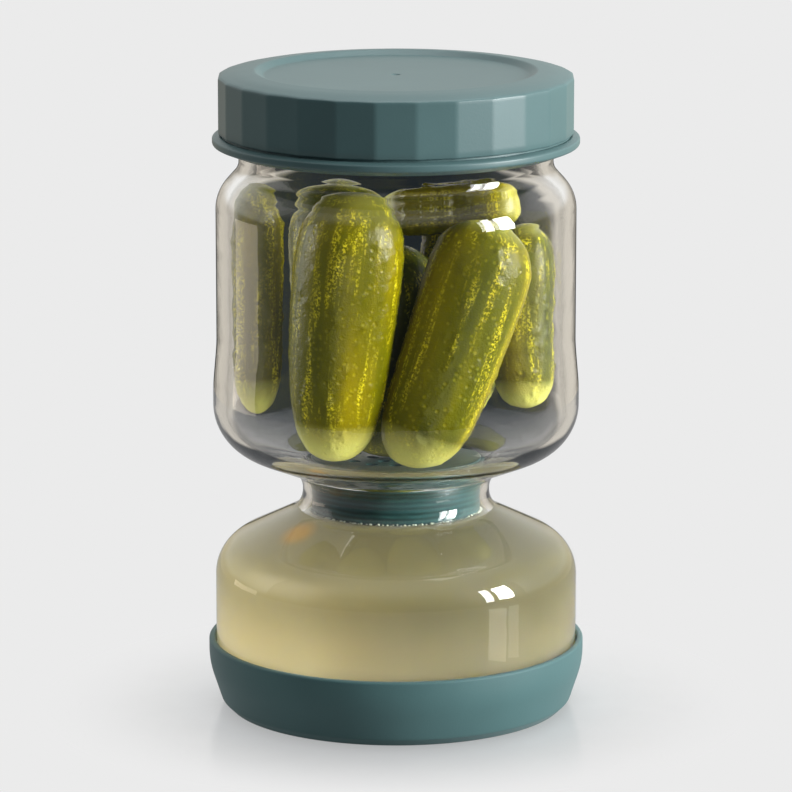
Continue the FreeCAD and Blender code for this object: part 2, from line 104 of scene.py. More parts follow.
# closed mesh from a grid of points, rows x columns x 3, columns running round the axis: each face
# joins (row, column) to the next row and the next column, the last column to the first, and the
# first and last rows become one point each; also returns which points of the grid it uses
def gridMesh(name, points, smoothAngle=None):
    rows, columns = points.shape[:2]
    index = np.arange(rows * columns).reshape(rows, columns)
    index[0], index[-1] = index[0, 0], index[-1, 0]
    beside = np.roll(index, -1, axis=1)
    quads = np.stack([index[:-1], beside[:-1], beside[1:], index[1:]], axis=-1).reshape(-1, 4)
    middle = quads[(quads[:, 0] != quads[:, 1]) & (quads[:, 2] != quads[:, 3])]
    lower = quads[quads[:, 0] == quads[:, 1]][:, [0, 2, 3]]
    upper = quads[quads[:, 2] == quads[:, 3]][:, [0, 1, 2]]
    used = np.unique(index)
    place = np.full(rows * columns, -1)
    place[used] = np.arange(len(used))
    faces = place[middle].tolist() + place[lower].tolist() + place[upper].tolist()
    return meshPiece(name, points.reshape(-1, 3)[used], faces, smoothAngle), used


# profile through corners (radius, height, round): each corner becomes an arc that touches both of
# its lines, with its centre on their bisector, round / sin(half the angle between them) away
def rounded(corners, steps):
    places = np.array([corner[:2] for corner in corners], float)
    line = [places[0]]
    for i in range(1, len(corners) - 1):
        size = corners[i][2]
        back, ahead = places[i - 1] - places[i], places[i + 1] - places[i]
        back, ahead = back / np.linalg.norm(back), ahead / np.linalg.norm(ahead)
        half = np.arccos(np.clip(back @ ahead, -1, 1)) / 2
        if size <= 0 or half > pi / 2 - 1e-4:
            line.append(places[i])
            continue
        bisector = (back + ahead) / np.linalg.norm(back + ahead)
        centre = places[i] + bisector * size / np.sin(half)
        first, last = places[i] + np.array([back, ahead]) * size / np.tan(half)
        a, b = [np.arctan2(*(p - centre)[::-1]) for p in (first, last)]
        turn = (b - a + pi) % (2 * pi) - pi
        angles = a + turn * np.linspace(0, 1, steps + 1)
        line += list(centre + size * np.stack([np.cos(angles), np.sin(angles)], axis=1))
    line.append(places[-1])
    return np.array(line)


# splits each stretch of a profile into length / step equal parts, rounded up, for even faces
def divided(line, step):
    parts = [line[:1]]
    for a, b in zip(line[:-1], line[1:]):
        count = max(1, int(np.ceil(np.linalg.norm(b - a) / step)))
        parts.append(a + (b - a) * np.linspace(0, 1, count + 1)[1:, None])
    return np.concatenate(parts)


# profile (radius, height) carried once round the axis: (radius cos a, radius sin a, height)
def turned(line, columns):
    around = np.linspace(0, 2 * pi, columns, endpoint=False)
    radius, height = line[:, :1], line[:, 1:] + 0 * around
    return np.stack([radius * np.cos(around), radius * np.sin(around), height], axis=-1)


# gives a piece its material, its body and the CAD nodes that it stands for; the slot name is not
# used
def finishPiece(piece, material, slotName, *nodes):
    piece.data.materials.clear()
    piece.data.materials.append(material)
    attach(piece, "root")
    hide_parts(*nodes)
    return piece


view = {
    "position": (0, -1.3644, 0.3815),   # m
    "pitch": 12.15,     # degrees below the horizon
    "lens": 227.3,      # mm
    "sensor": 36,       # mm
    "farthest": 20,     # m
    "background": "#ebebeb",
}


# long lens that looks level from side to side and down by its pitch
def makeCamera():
    camera = bpy.data.objects.new("camera", bpy.data.cameras.new("camera"))
    camera.data.lens = view["lens"]
    camera.data.sensor_width = view["sensor"]
    camera.data.clip_end = view["farthest"]
    camera.location = view["position"]
    camera.rotation_euler = (radians(90 - view["pitch"]), 0, 0)
    bpy.context.scene.collection.objects.link(camera)
    bpy.context.scene.camera = camera


table = {
    "rings": (20, 455, 40),     # mm, first and last, and how many
    "columns": 61,              # in each half
    "height": -0.05,            # mm, just clear of the foot
    "fade": (56, 100),          # mm from the axis, over which it turns from satin to even
    "evenAtFoot": 0.45,         # how even it is already at the foot
    "tones": [(0.3, "#ecedef"), (0.7, "#f2f3f5")],
    "grain": 50 / 3,            # mm
    "roughness": 0.18,
    "givesBack": 0.5,           # share of its brightness that lights other things
}


# satin laminate: shadowed and faintly mirroring near the jar, even further out
def tableMaterial():
    material, tree = newMaterial("satin_table")
    place = add(tree, "ShaderNodeTexCoord").outputs["Object"]
    away = add(tree, "ShaderNodeVectorMath", {"operation": "LENGTH"}, i0=place).outputs["Value"]
    fade = add(tree, "ShaderNodeMapRange", smooth, Value=away, From_Min=table["fade"][0] * mm,
               From_Max=table["fade"][1] * mm, To_Min=table["evenAtFoot"])
    grain = add(tree, "ShaderNodeTexNoise", Vector=place, Scale=scaleFor(table["grain"]),
                Detail=4.0)
    tone = add(tree, "ShaderNodeValToRGB", stops=table["tones"], Fac=grain.outputs["Fac"])
    satin = add(tree, "ShaderNodeBsdfPrincipled", Base_Color=tone.outputs["Color"],
                Roughness=table["roughness"])
    # full brightness to look at, less as the light that it gives back
    straight = add(tree, "ShaderNodeLightPath").outputs["Is Camera Ray"]
    level = add(tree, "ShaderNodeMapRange", Value=straight, To_Min=table["givesBack"])
    even = add(tree, "ShaderNodeEmission", Color=linear(view["background"]),
               Strength=level.outputs["Result"])
    mixed = add(tree, "ShaderNodeMixShader", Fac=fade.outputs["Result"], i1=satin.outputs["BSDF"],
                i2=even.outputs["Emission"])
    add(tree, "ShaderNodeOutputMaterial", Surface=mixed.outputs["Shader"])
    return material


# half disc of the table, from one bearing to the other in degrees: (away cos b, away sin b, height)
def makeTable(name, start, end, material):
    away = np.concatenate([[0], np.linspace(*table["rings"])])[:, None]
    bearing = np.radians(np.linspace(start, end, table["columns"]))
    height = 0 * away + 0 * bearing + table["height"]
    points = np.stack([away * np.cos(bearing), away * np.sin(bearing), height], axis=-1)
    index = np.arange(height.size).reshape(height.shape)
    index[0] = 0
    corners = [index[:-1, :-1], index[1:, :-1], index[1:, 1:], index[:-1, 1:]]
    quads = np.stack(corners, axis=-1).reshape(-1, 4)
    closed = quads[:, 0] == quads[:, 3]
    faces = quads[~closed].tolist() + quads[closed][:, :3].tolist()
    half = meshPiece(name, points.reshape(-1, 3), faces)
    half.data.materials.append(material)
    # it mirrors in the glass, but what shows through the glass is the dark ground behind
    half.visible_transmission = False
    return half


# places and sizes in metres, power in watts; aim is what a lamp points at
lamps = {
    # a tall window of two panes with a bar between them
    "window_left_pane": {"place": (1.06, -0.60, 0.42), "size": (0.13, 0.62), "power": 6},
    "window_right_pane": {"place": (1.19, -0.36, 0.42), "size": (0.25, 0.62), "power": 22},
    # low light from behind on the left, which rims the wet gherkins
    "rim": {"place": (-0.9, 0.30, 0.22), "size": (0.25, 0.5), "power": 8},
    # a white board on the left that shows only as a reflection in the glass
    "board": {"place": (-0.946, 0.326, -0.09), "size": (0.44, 0.32), "power": 0.9,
              "tint": "#fff0dc", "aim": (0, 0, 0.12), "mirrored": True},
    # the two upright streaks that the window draws on the lower chamber
    "streak_left": {"place": (0.0826, -0.0647, 0.0155), "size": (0.0183, 0.018), "power": 0.0023,
                    "tint": "#fff8ea", "aim": (0.0276, -0.0416, 0.0155), "mirrored": True},
    "streak_right": {"place": (0.0909, -0.0489, 0.0155), "size": (0.0118, 0.018), "power": 0.0009,
                     "tint": "#fff8ea", "aim": (0.032, -0.0383, 0.0155), "mirrored": True},
    # the table's glow on the gherkins' low ends
    "bounce": {"place": (0.12, -0.6, 0.03), "size": (0.5, 0.05), "power": 1.5,
               "tint": "#fffbe6", "aim": (0, 0, 0.08)},
    "ceiling": {"place": (0.1, 0.35, 1.5), "size": (1.2, 1.0), "power": 8.5},
    # the light that a round of cloudy liquid gathers on the side away from the window
    "glow": {"place": (-0.9, -0.35, 0.5), "size": (0.8, 0.8), "power": 15, "tint": "#fff4e0"},
}


# soft rectangular lamp that faces along aim - place; a mirrored one shows only as a reflection
def makeLamp(name):
    spec = {"tint": "#ffffff", "aim": (0, 0, 0.09), "mirrored": False, **lamps[name]}
    light = bpy.data.lights.new(name, "AREA")
    light.shape = "RECTANGLE"
    light.size, light.size_y = spec["size"]
    light.energy = spec["power"]
    light.color = linear(spec["tint"])[:3]
    lamp = bpy.data.objects.new(name, light)
    lamp.location = spec["place"]
    facing = Vector(spec["place"]) - Vector(spec["aim"])
    lamp.rotation_euler = facing.to_track_quat("Z", "Y").to_euler()
    bpy.context.scene.collection.objects.link(lamp)
    if spec["mirrored"]:
        lamp.visible_diffuse = lamp.visible_transmission = lamp.visible_camera = False
    return lamp


# lights only these pieces, or with shut all but them
def lightsOnly(lamp, pieces, shut=False):
    group = bpy.data.collections.new(lamp.name + "_reach")
    for piece in pieces:
        group.objects.link(piece)
    if shut:
        for entry in group.collection_objects:
            entry.light_linking.link_state = "EXCLUDE"
    lamp.light_linking.receiver_collection = group


room = {
    # by share of a turn from straight in front, over the left side, behind and the right side
    "around": [(0.0, "#2b3236"), (0.08, "#2b3236"), (0.22, "#5d6468"), (0.33, "#a5a09a"),
               (0.42, "#cdc6b9"), (0.58, "#d6cfc2"), (0.67, "#b6b1a8"), (0.78, "#747a7c"),
               (0.90, "#343b3f"), (1.0, "#2b3236")],
    "ground": "#1f2428",        # the dark ground behind the table
    "groundWidth": (0.04, 0.13),    # where it fades, by |X| + groundFall * Z of the direction
    "groundFall": 0.8,
    "groundTop": (-0.04, 0.02),     # where it fades upwards, by Z of the direction
    "wall": "#f2f1ee",          # the bright wall above that ground
    "wallFoot": (0.0, 0.12),
    "ceiling": "#c4c6c8",
    "ceilingEdge": (0.35, 0.8),
}


# the room as a world: a colour by bearing, atan2(X, Y), then a wall above the horizon on the far
# side, a dark ground below it straight behind, where |X| + groundFall * Z is small, and a ceiling
# by height; plain for whatever looks straight at it
def makeRoom():
    world = bpy.data.worlds.new("room")
    bpy.context.scene.world = world
    world.use_nodes = True
    tree = world.node_tree
    tree.nodes.clear()
    direction = add(tree, "ShaderNodeTexCoord").outputs["Generated"]
    parts = add(tree, "ShaderNodeSeparateXYZ", Vector=direction).outputs
    far = add(tree, "ShaderNodeMath", {"operation": "GREATER_THAN"}, i0=parts["Y"], i1=0.0)
    aside = add(tree, "ShaderNodeMath", {"operation": "ABSOLUTE"}, i0=parts["X"])
    bearing = add(tree, "ShaderNodeMath", {"operation": "ARCTAN2"}, i0=parts["X"], i1=parts["Y"])
    share = add(tree, "ShaderNodeMapRange", Value=bearing.outputs["Value"], From_Min=-pi,
                From_Max=pi)
    sides = add(tree, "ShaderNodeValToRGB", stops=room["around"], Fac=share.outputs["Result"])

    spread = add(tree, "ShaderNodeMath", timesPlus, i0=parts["Z"], i1=room["groundFall"],
                 i2=aside.outputs["Value"])
    near = add(tree, "ShaderNodeMapRange", Value=spread.outputs["Value"],
               From_Min=room["groundWidth"][1], From_Max=room["groundWidth"][0])
    under = add(tree, "ShaderNodeMapRange", Value=parts["Z"],
                From_Min=room["groundTop"][1], From_Max=room["groundTop"][0])
    over = add(tree, "ShaderNodeMapRange", Value=parts["Z"],
               From_Min=room["wallFoot"][0], From_Max=room["wallFoot"][1])
    high = add(tree, "ShaderNodeMapRange", smooth, Value=parts["Z"],
               From_Min=room["ceilingEdge"][0], From_Max=room["ceilingEdge"][1])
    behind = add(tree, "ShaderNodeMath", times, i0=near.outputs["Result"], i1=far.outputs["Value"])
    dark = add(tree, "ShaderNodeMath", times, i0=behind.outputs["Value"],
               i1=under.outputs["Result"])
    wall = add(tree, "ShaderNodeMath", times, i0=far.outputs["Value"], i1=over.outputs["Result"])

    walled = add(tree, "ShaderNodeMix", colours, i0=wall.outputs["Value"],
                 i6=sides.outputs["Color"], i7=linear(room["wall"]))
    grounded = add(tree, "ShaderNodeMix", colours, i0=dark.outputs["Value"],
                   i6=walled.outputs[2], i7=linear(room["ground"]))
    closed = add(tree, "ShaderNodeMix", colours, i0=high.outputs["Result"],
                 i6=grounded.outputs[2], i7=linear(room["ceiling"]))
    around = add(tree, "ShaderNodeBackground", Color=closed.outputs[2])
    plain = add(tree, "ShaderNodeBackground", Color=linear(view["background"]))
    straight = add(tree, "ShaderNodeLightPath").outputs["Is Camera Ray"]
    mixed = add(tree, "ShaderNodeMixShader", Fac=straight, i1=around.outputs["Background"],
                i2=plain.outputs["Background"])
    add(tree, "ShaderNodeOutputWorld", Surface=mixed.outputs["Shader"])


makeCamera()
satinTable = tableMaterial()
halves = [makeTable("floor_front", 180, 360, satinTable),
          makeTable("floor_behind", 0, 180, satinTable)]
makeRoom()
lights = {name: makeLamp(name) for name in lamps}
bpy.context.scene.view_settings.view_transform = "Standard"
print("stage made")


glass = {
    # (radius, height, round) in mm, from the middle of the underside up to the rim
    "outside": [
        (0, 2.5, 0), (46.65, 2.5, 5.5), (50.55, 12.5, 22), (50.55, 44.975, 12), (26.1, 56.9, 7),
        (26.1, 66, 6), (51, 76.06, 15), (51, 91.06, 50), (49.95, 103.06, 50),
        (49.95, 145.44, 11.5), (43.5, 152.6, 5), (43.5, 175, 1.2), (40.1, 175, 1.2),
    ],
    # and back down the inside to the middle of the floor
    "inside": [
        (40.1, 151.3, 8.4), (46.55, 144.13, 8.1), (46.55, 103.06, 50), (47.6, 91.06, 50),
        (47.6, 78.35, 11.6), (23.5, 67.75, 8.6), (23.5, 55.28, 9.6), (47.15, 42.85, 8.6),
        (47.15, 16.5, 22), (43.25, 6.5, 3.8), (0, 6.5, 0),
    ],
    "arcSteps": 14,
    "step": 6,              # mm, most between two rings
    "columns": 256,
    "waves": 200 / 9,       # mm across, from the mould
    "waveSquash": 1.6,      # times closer together in height
    "waveStrength": 0.06,
    "waveDepth": 2,         # mm
    "tint": "#dfeee6",
    "density": 4.0,
    "ior": 1.5,
}


# soda-lime container glass, blown into a mould: clear and glossy, barely green where it is thick,
# and its faint waves bend the lines behind it
def glassMaterial():
    material, tree = newMaterial("soda_lime_glass")
    place = add(tree, "ShaderNodeTexCoord").outputs["Object"]
    squashed = add(tree, "ShaderNodeMapping", Vector=place, Scale=(1, 1, glass["waveSquash"]))
    waves = add(tree, "ShaderNodeTexNoise", Vector=squashed.outputs["Vector"],
                Scale=scaleFor(glass["waves"]), Detail=2.0)
    dent = add(tree, "ShaderNodeBump", Strength=glass["waveStrength"],
               Distance=glass["waveDepth"] * mm, Height=waves.outputs["Fac"])
    shader = add(tree, "ShaderNodeBsdfPrincipled", Base_Color=(1, 1, 1, 1), Roughness=0.0,
                 IOR=glass["ior"], Transmission_Weight=1.0, Normal=dent.outputs["Normal"])
    tint = add(tree, "ShaderNodeVolumeAbsorption", Color=linear(glass["tint"]),
               Density=glass["density"])
    add(tree, "ShaderNodeOutputMaterial", Surface=shader.outputs["BSDF"],
        Volume=tint.outputs["Volume"])
    return material


# the outside and inside profiles as one line from axis to axis, turned round the axis
def makeGlass():
    outline = glass["outside"] + glass["inside"]
    line = divided(rounded(outline, glass["arcSteps"]), glass["step"])
    piece, _ = gridMesh("jar_glass", turned(line, glass["columns"]))
    piece.visible_shadow = False    # else the jar's contents would stand in its shade
    return finishPiece(piece, glassMaterial(), "clear_glass", "glass_jar")


jarGlass = makeGlass()
print("glass made")


brine = {
    # (radius, height, round) in mm, along the chamber's inside
    "outline": [
        (0, 6.5, 0), (43.25, 6.5, 3.8), (47.15, 16.5, 22), (47.15, 42.85, 8.6),
        (23.5, 55.28, 9.6), (23.5, 67.75, 8.6),
    ],
    "floor": 7,         # mm, everything below it belongs to the flat bottom
    "reach": 0.35,      # mm into the wall, so that no air shows between brine and glass
    "reachFrom": 10,    # mm from the axis, where it reaches out in full
    "level": 55.0,
    "edge": 23.9614,    # mm, the chamber's radius at that level
    "meniscus": (3.5, 0.8),     # mm wide and high, where the brine climbs the glass
    "meniscusRings": 7,
    "arcSteps": 14,
    "step": 4,          # mm, most between two rings
    "columns": 192,
    "tones": [(0.0, "#d8cfa8"), (0.35, "#cdc59c"), (0.7, "#938e6b"), (1.0, "#716e52")],
    "paintedShadeHeights": (8, 62),     # mm, pale at the bottom and darker up under the waist; the darkening is painted shade
    "clouds": 500 / 11,     # mm across
    "cloudRise": 12,    # mm by which a cloud lifts or sinks the tones
    "amber": "#b08a38",         # one soft amber spot in the brine's colour, under the shoulder
    "amberPlace": (-0.0270, -0.0175, 0.0520),   # m
    "amberFade": (7, 2),        # mm from its middle
    "amberShare": 0.7,
    "roughness": 0.3,
    "ior": 1.33,
    "scatter": 22,      # mm that light travels in it
    "scatterColours": (1.0, 0.9, 0.5),
}


# spent pickling brine: water cloudy with starch and dill oil, straw yellow where light goes through
def brineMaterial():
    material, tree = newMaterial("cloudy_brine")
    place = add(tree, "ShaderNodeTexCoord").outputs["Object"]
    height = add(tree, "ShaderNodeSeparateXYZ", Vector=place).outputs["Z"]
    cloud = add(tree, "ShaderNodeTexNoise", Vector=place, Scale=scaleFor(brine["clouds"]),
                Detail=3.0)
    # tones by height, paler low and darker up under the waist: painted shade, which the clouds lift
    # or sink
    lifted = add(tree, "ShaderNodeMath", timesPlus, i0=cloud.outputs["Fac"],
                 i1=brine["cloudRise"] * mm, i2=height)
    share = add(tree, "ShaderNodeMapRange", Value=lifted.outputs["Value"],
                From_Min=brine["paintedShadeHeights"][0] * mm, From_Max=brine["paintedShadeHeights"][1] * mm)
    tone = add(tree, "ShaderNodeValToRGB", stops=brine["tones"], Fac=share.outputs["Result"])
    away = add(tree, "ShaderNodeVectorMath", {"operation": "DISTANCE"}, i0=place,
               i1=brine["amberPlace"])
    amber = add(tree, "ShaderNodeMapRange", smooth, Value=away.outputs["Value"],
                From_Min=brine["amberFade"][0] * mm, From_Max=brine["amberFade"][1] * mm,
                To_Max=brine["amberShare"])
    oily = add(tree, "ShaderNodeMix", colours, i0=amber.outputs["Result"],
               i6=tone.outputs["Color"], i7=linear(brine["amber"]))
    shader = add(tree, "ShaderNodeBsdfPrincipled", Base_Color=oily.outputs[2],
                 Roughness=brine["roughness"], IOR=brine["ior"], Subsurface_Weight=1.0,
                 Subsurface_Scale=brine["scatter"] * mm, Subsurface_Radius=brine["scatterColours"])
    add(tree, "ShaderNodeOutputMaterial", Surface=shader.outputs["BSDF"])
    return material


# the chamber's profile up to the level, then inwards over the meniscus, height * (1 - share) ^ 3
# above the level at that share of its width, and flat to the axis; all of it a little oversize
def makeBrine():
    line = divided(rounded(brine["outline"], brine["arcSteps"]), brine["step"])
    line = line[line[:, 1] < brine["level"]]
    share = np.linspace(0, 1, brine["meniscusRings"])[:, None]
    width, climb = brine["meniscus"]
    top = np.concatenate([brine["edge"] - width * share,
                          brine["level"] + climb * (1 - share) ** 3], axis=1)
    line = np.concatenate([line, top, [[0, brine["level"]]]])
    outward = np.minimum(line[:, 0] / brine["reachFrom"], 1) * brine["reach"]
    downward = np.where(line[:, 1] < brine["floor"], -brine["reach"], 0)
    line = line + np.stack([outward, downward], axis=1)
    piece, _ = gridMesh("brine_fill", turned(line, brine["columns"]))
    return finishPiece(piece, brineMaterial(), "brine", "brine")


brineFill = makeBrine()
print("brine made")


bubbles = {
    "count": 150,
    "radius": (0.2, 0.45),      # mm
    "ring": (23.35, 23.75),     # mm from the axis
    "height": (55.45, 55.95),
    "jitter": 0.4,              # of the space between two
    "belts": 5,
    "sides": 10,
    "seed": 5,
    "tones": [(0.35, "#aeb8a2"), (0.65, "#dfe2cf")],
    "patches": 2.5,             # mm
    "roughness": 0.08,
    "ior": 1.33,
    "clear": 0.2,
}


# foam on brine: thin wet films, pale and glossy, a little see-through
def foamMaterial():
    material, tree = newMaterial("brine_foam")
    place = add(tree, "ShaderNodeTexCoord").outputs["Object"]
    patchy = add(tree, "ShaderNodeTexNoise", Vector=place, Scale=scaleFor(bubbles["patches"]))
    tone = add(tree, "ShaderNodeValToRGB", stops=bubbles["tones"], Fac=patchy.outputs["Fac"])
    shader = add(tree, "ShaderNodeBsdfPrincipled", Base_Color=tone.outputs["Color"],
                 Roughness=bubbles["roughness"], IOR=bubbles["ior"],
                 Transmission_Weight=bubbles["clear"])
    add(tree, "ShaderNodeOutputMaterial", Surface=shader.outputs["BSDF"])
    return material


# foam bubbles along the brine's edge: one ball, (sin d cos a, sin d sin a, -cos d) on a small grid
# with a point at each end, times each bubble's radius, moved to its place round the ring
def makeBubbles():
    rng = np.random.default_rng(bubbles["seed"])
    count, belts, sides, jitter = [bubbles[key] for key in ("count", "belts", "sides", "jitter")]
    size = rng.uniform(*bubbles["radius"], count)[:, None]
    bearing = (np.arange(count) + rng.uniform(-jitter, jitter, count)) * 2 * pi / count
    ring, height = rng.uniform(*bubbles["ring"], count), rng.uniform(*bubbles["height"], count)
    centres = np.stack([ring * np.cos(bearing), ring * np.sin(bearing), height], axis=1)

    down = np.linspace(0, pi, belts + 2)[1:-1, None]
    around = np.linspace(0, 2 * pi, sides, endpoint=False)[None, :]
    ball = np.stack([np.sin(down) * np.cos(around), np.sin(down) * np.sin(around),
                     -np.cos(down) + 0 * around], axis=-1).reshape(-1, 3)
    ball = np.concatenate([ball, [[0, 0, -1], [0, 0, 1]]])
    index = np.arange(belts * sides).reshape(belts, sides)
    beside = np.roll(index, -1, axis=1)
    quads = np.stack([index[:-1], beside[:-1], beside[1:], index[1:]], axis=-1).reshape(-1, 4)
    low = np.stack([beside[0], index[0], np.full(sides, belts * sides)], axis=-1)
    top = np.stack([index[-1], beside[-1], np.full(sides, belts * sides + 1)], axis=-1)

    points = (centres[:, None, :] + ball[None] * size[:, None]).reshape(-1, 3)
    step = (np.arange(count) * len(ball))[:, None, None]
    faces = (quads[None] + step).reshape(-1, 4).tolist()
    faces += (np.concatenate([low, top])[None] + step).reshape(-1, 3).tolist()
    piece = meshPiece("brine_bubbles", points, faces)
    piece.data.materials.append(foamMaterial())
    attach(piece, "root")


makeBubbles()
print("bubbles made")


foot = {
    # (radius, height, round) in mm, from the middle of the underside over the lip to the inside
    "outline": [
        (0, 0, 0), (47.0, 0, 0.7), (49.15, 2.1, 2.1), (52.6, 12.5, 22), (52.6, 19.3, 0.75),
        (50.85, 19.3, 0.5), (50.85, 12.5, 22), (46.95, 2.5, 5.5), (0, 2.5, 0),
    ],
    "arcSteps": 8,
    "step": 4,              # mm, most between two rings
    "columns": 240,
    "smoothAngle": 40,
    "tones": [(0.3, "#3d6162"), (0.7, "#416667")],
    "dust": 25,             # mm across
    "grain": 5 / 11,        # mm, coarser than the mould's own, so that it shows
    "grainStrength": 0.12,
    "grainDepth": 0.2,      # mm
    "roughness": 0.62,
    "sheen": (0.12, 0.5),   # weight and roughness
}


# silicone rubber, compression moulded: matte, with a soft sheen at its edges and a breath of dust
def rubberMaterial():
    material, tree = newMaterial("silicone_rubber")
    place = add(tree, "ShaderNodeTexCoord").outputs["Object"]
    dust = add(tree, "ShaderNodeTexNoise", Vector=place, Scale=scaleFor(foot["dust"]), Detail=5.0)
    tone = add(tree, "ShaderNodeValToRGB", stops=foot["tones"], Fac=dust.outputs["Fac"])
    grain = add(tree, "ShaderNodeTexNoise", Vector=place, Scale=scaleFor(foot["grain"]), Detail=2.0)
    dent = add(tree, "ShaderNodeBump", Strength=foot["grainStrength"],
               Distance=foot["grainDepth"] * mm, Height=grain.outputs["Fac"])
    weight, spread = foot["sheen"]
    shader = add(tree, "ShaderNodeBsdfPrincipled", Base_Color=tone.outputs["Color"],
                 Roughness=foot["roughness"], Sheen_Weight=weight, Sheen_Roughness=spread,
                 Normal=dent.outputs["Normal"])
    add(tree, "ShaderNodeOutputMaterial", Surface=shader.outputs["BSDF"])
    return material


# the cup's profile turned round the axis
def makeFoot():
    line = divided(rounded(foot["outline"], foot["arcSteps"]), foot["step"])
    piece, _ = gridMesh("foot_cup", turned(line, foot["columns"]), foot["smoothAngle"])
    finishPiece(piece, rubberMaterial(), "foot_silicone", "foot")


makeFoot()
print("foot made")


lid = {
    "facets": 28,
    "facetColumns": 14,     # in each facet
    "circle": 49.2,         # mm, radius over the facets' edges
    "softness": 0.035,      # how far each edge is rounded, as a share of a facet
    # (radius, height, round) in mm, from the inside over the lip up to the facets
    "skirt": [
        (44.3, 175, 0), (44.3, 157.8, 0.4), (46.7, 157.8, 0.5), (50.8, 159.4, 0.8),
        (50.8, 161.2, 0.6), (48.9, 161.8, 0.2), (48.2, 161.8, 0.1), (48.2, 162.4, 0),
    ],
    "band": (162.4, 178.1),     # mm, heights between which the facets stand
    "bandFoot": [(0.35, 0), (0.1, 0.15), (0, 0.4)],     # mm inwards and up from its lower edge
    "bandRows": (2, 1.2, 6),    # mm off its lower and upper edge, and how many
    "bandHead": [(0, 0.55), (0.05, 0.3), (0.2, 0.08)],  # mm inwards and down from its upper edge
    # (radius, height, round) in mm, over the recess to the mark in the middle
    "crown": [
        (49.2, 178.1, 0), (44.05, 179.23, 30), (38.9, 179.69, 1.6), (36.6, 178.3, 1.6),
        (1.3, 178.3, 0.5), (0.65, 177.7, 0.3), (0, 177.7, 0),
    ],
    "crownFrom": 0.5,           # mm inside the circle, where the crown's own rings begin
    "facetFade": (38.9, 10),    # mm from the axis, where facets end, and over how much they fade
    "arcSteps": (6, 8),         # in the skirt and the crown
    "step": (3, 1.5),           # mm, most between two rings of each
    "smoothAngle": 38,
    "tones": [(0.3, "#4a6667"), (0.7, "#4f6c6d")],
    "clouds": 100 / 3,          # mm across
    "grain": 0.625,             # mm, coarser than the mould's own, so that it shows
    "grainStrength": 0.08,
    "grainDepth": 0.2,          # mm
    "roughness": 0.42,
    "ior": 1.52,
}


# polypropylene, injection moulded: flat mid green with the satin skin of a spark-eroded mould
def lidMaterial():
    material, tree = newMaterial("moulded_polypropylene")
    place = add(tree, "ShaderNodeTexCoord").outputs["Object"]
    cloud = add(tree, "ShaderNodeTexNoise", Vector=place, Scale=scaleFor(lid["clouds"]), Detail=4.0)
    tone = add(tree, "ShaderNodeValToRGB", stops=lid["tones"], Fac=cloud.outputs["Fac"])
    grain = add(tree, "ShaderNodeTexNoise", Vector=place, Scale=scaleFor(lid["grain"]), Detail=2.0)
    dent = add(tree, "ShaderNodeBump", Strength=lid["grainStrength"],
               Distance=lid["grainDepth"] * mm, Height=grain.outputs["Fac"])
    shader = add(tree, "ShaderNodeBsdfPrincipled", Base_Color=tone.outputs["Color"],
                 Roughness=lid["roughness"], IOR=lid["ior"], Normal=dent.outputs["Normal"])
    add(tree, "ShaderNodeOutputMaterial", Surface=shader.outputs["BSDF"])
    return material


# the facets' radius as a share of their circle's: cos(half a facet) / cos(angle off the flat's
# middle), with that angle held back near the peaks so that they are softened
def facetShare(around):
    step = 2 * pi / lid["facets"]
    off = (around + pi / 2 + step / 2) % step - step / 2
    soft = lid["softness"] * step
    bent = step / 2 - np.sqrt((step / 2 - np.abs(off)) ** 2 + soft ** 2) + soft
    return np.cos(step / 2) / np.cos(np.minimum(np.abs(off), bent))


# skirt, band and crown as one profile; each ring's radius is times 1 + weight * (facetShare - 1),
# weight 0 on the skirt, 1 on the band and fading over the crown, and where the facets draw the
# crown in, it sinks as its slope says
def makeLid():
    columns = lid["facets"] * lid["facetColumns"]
    around = np.linspace(0, 2 * pi, columns, endpoint=False)
    circle, (low, high) = lid["circle"], lid["band"]
    skirt = divided(rounded(lid["skirt"], lid["arcSteps"][0]), lid["step"][0])
    crown = divided(rounded(lid["crown"], lid["arcSteps"][1]), lid["step"][1])
    # the crown's own slope at its edge, over its first three stretches
    slope = (crown[3, 1] - crown[0, 1]) / (crown[0, 0] - crown[3, 0])
    crown = crown[crown[:, 0] < circle - lid["crownFrom"]]
    offLow, offHigh, rows = lid["bandRows"]
    heights = np.linspace(low + offLow, high - offHigh, rows)
    band = np.concatenate([[circle, low] + np.array(lid["bandFoot"]) * [-1, 1],
                           np.stack([circle + 0 * heights, heights], axis=1),
                           [circle, high] - np.array(lid["bandHead"])])

    line = np.concatenate([skirt, band, crown])
    radius, height = line[:, :1], line[:, 1:]
    fadeEnd, fadeWidth = lid["facetFade"]
    weight = np.concatenate([np.zeros(len(skirt)), np.ones(len(band)),
                             np.clip((crown[:, 0] - fadeEnd) / fadeWidth, 0, 1)])[:, None]
    across = radius * (1 + weight * (facetShare(around) - 1))
    onTop = np.arange(len(line))[:, None] >= len(skirt) + len(band) - len(lid["bandHead"])
    rise = np.where(onTop, (radius - across) * slope, 0)
    points = np.stack([across * np.cos(around), across * np.sin(around), height + rise], axis=-1)
    ceiling = turned(np.array([[0, lid["skirt"][0][1]]]), columns)
    piece, _ = gridMesh("lid_cap", np.concatenate([ceiling, points]), lid["smoothAngle"])
    finishPiece(piece, lidMaterial(), "lid_plastic", "lid")


makeLid()
print("lid made")


strainer = {
    "rings": 1.745,     # mm from one moulding ring to the next
    "waver": 1.5,
    # far darker than the lid's tones: painted shade
    "tones": [(0.0, "#16302e"), (1.0, "#284a48")],
    "roughness": 0.3,
}
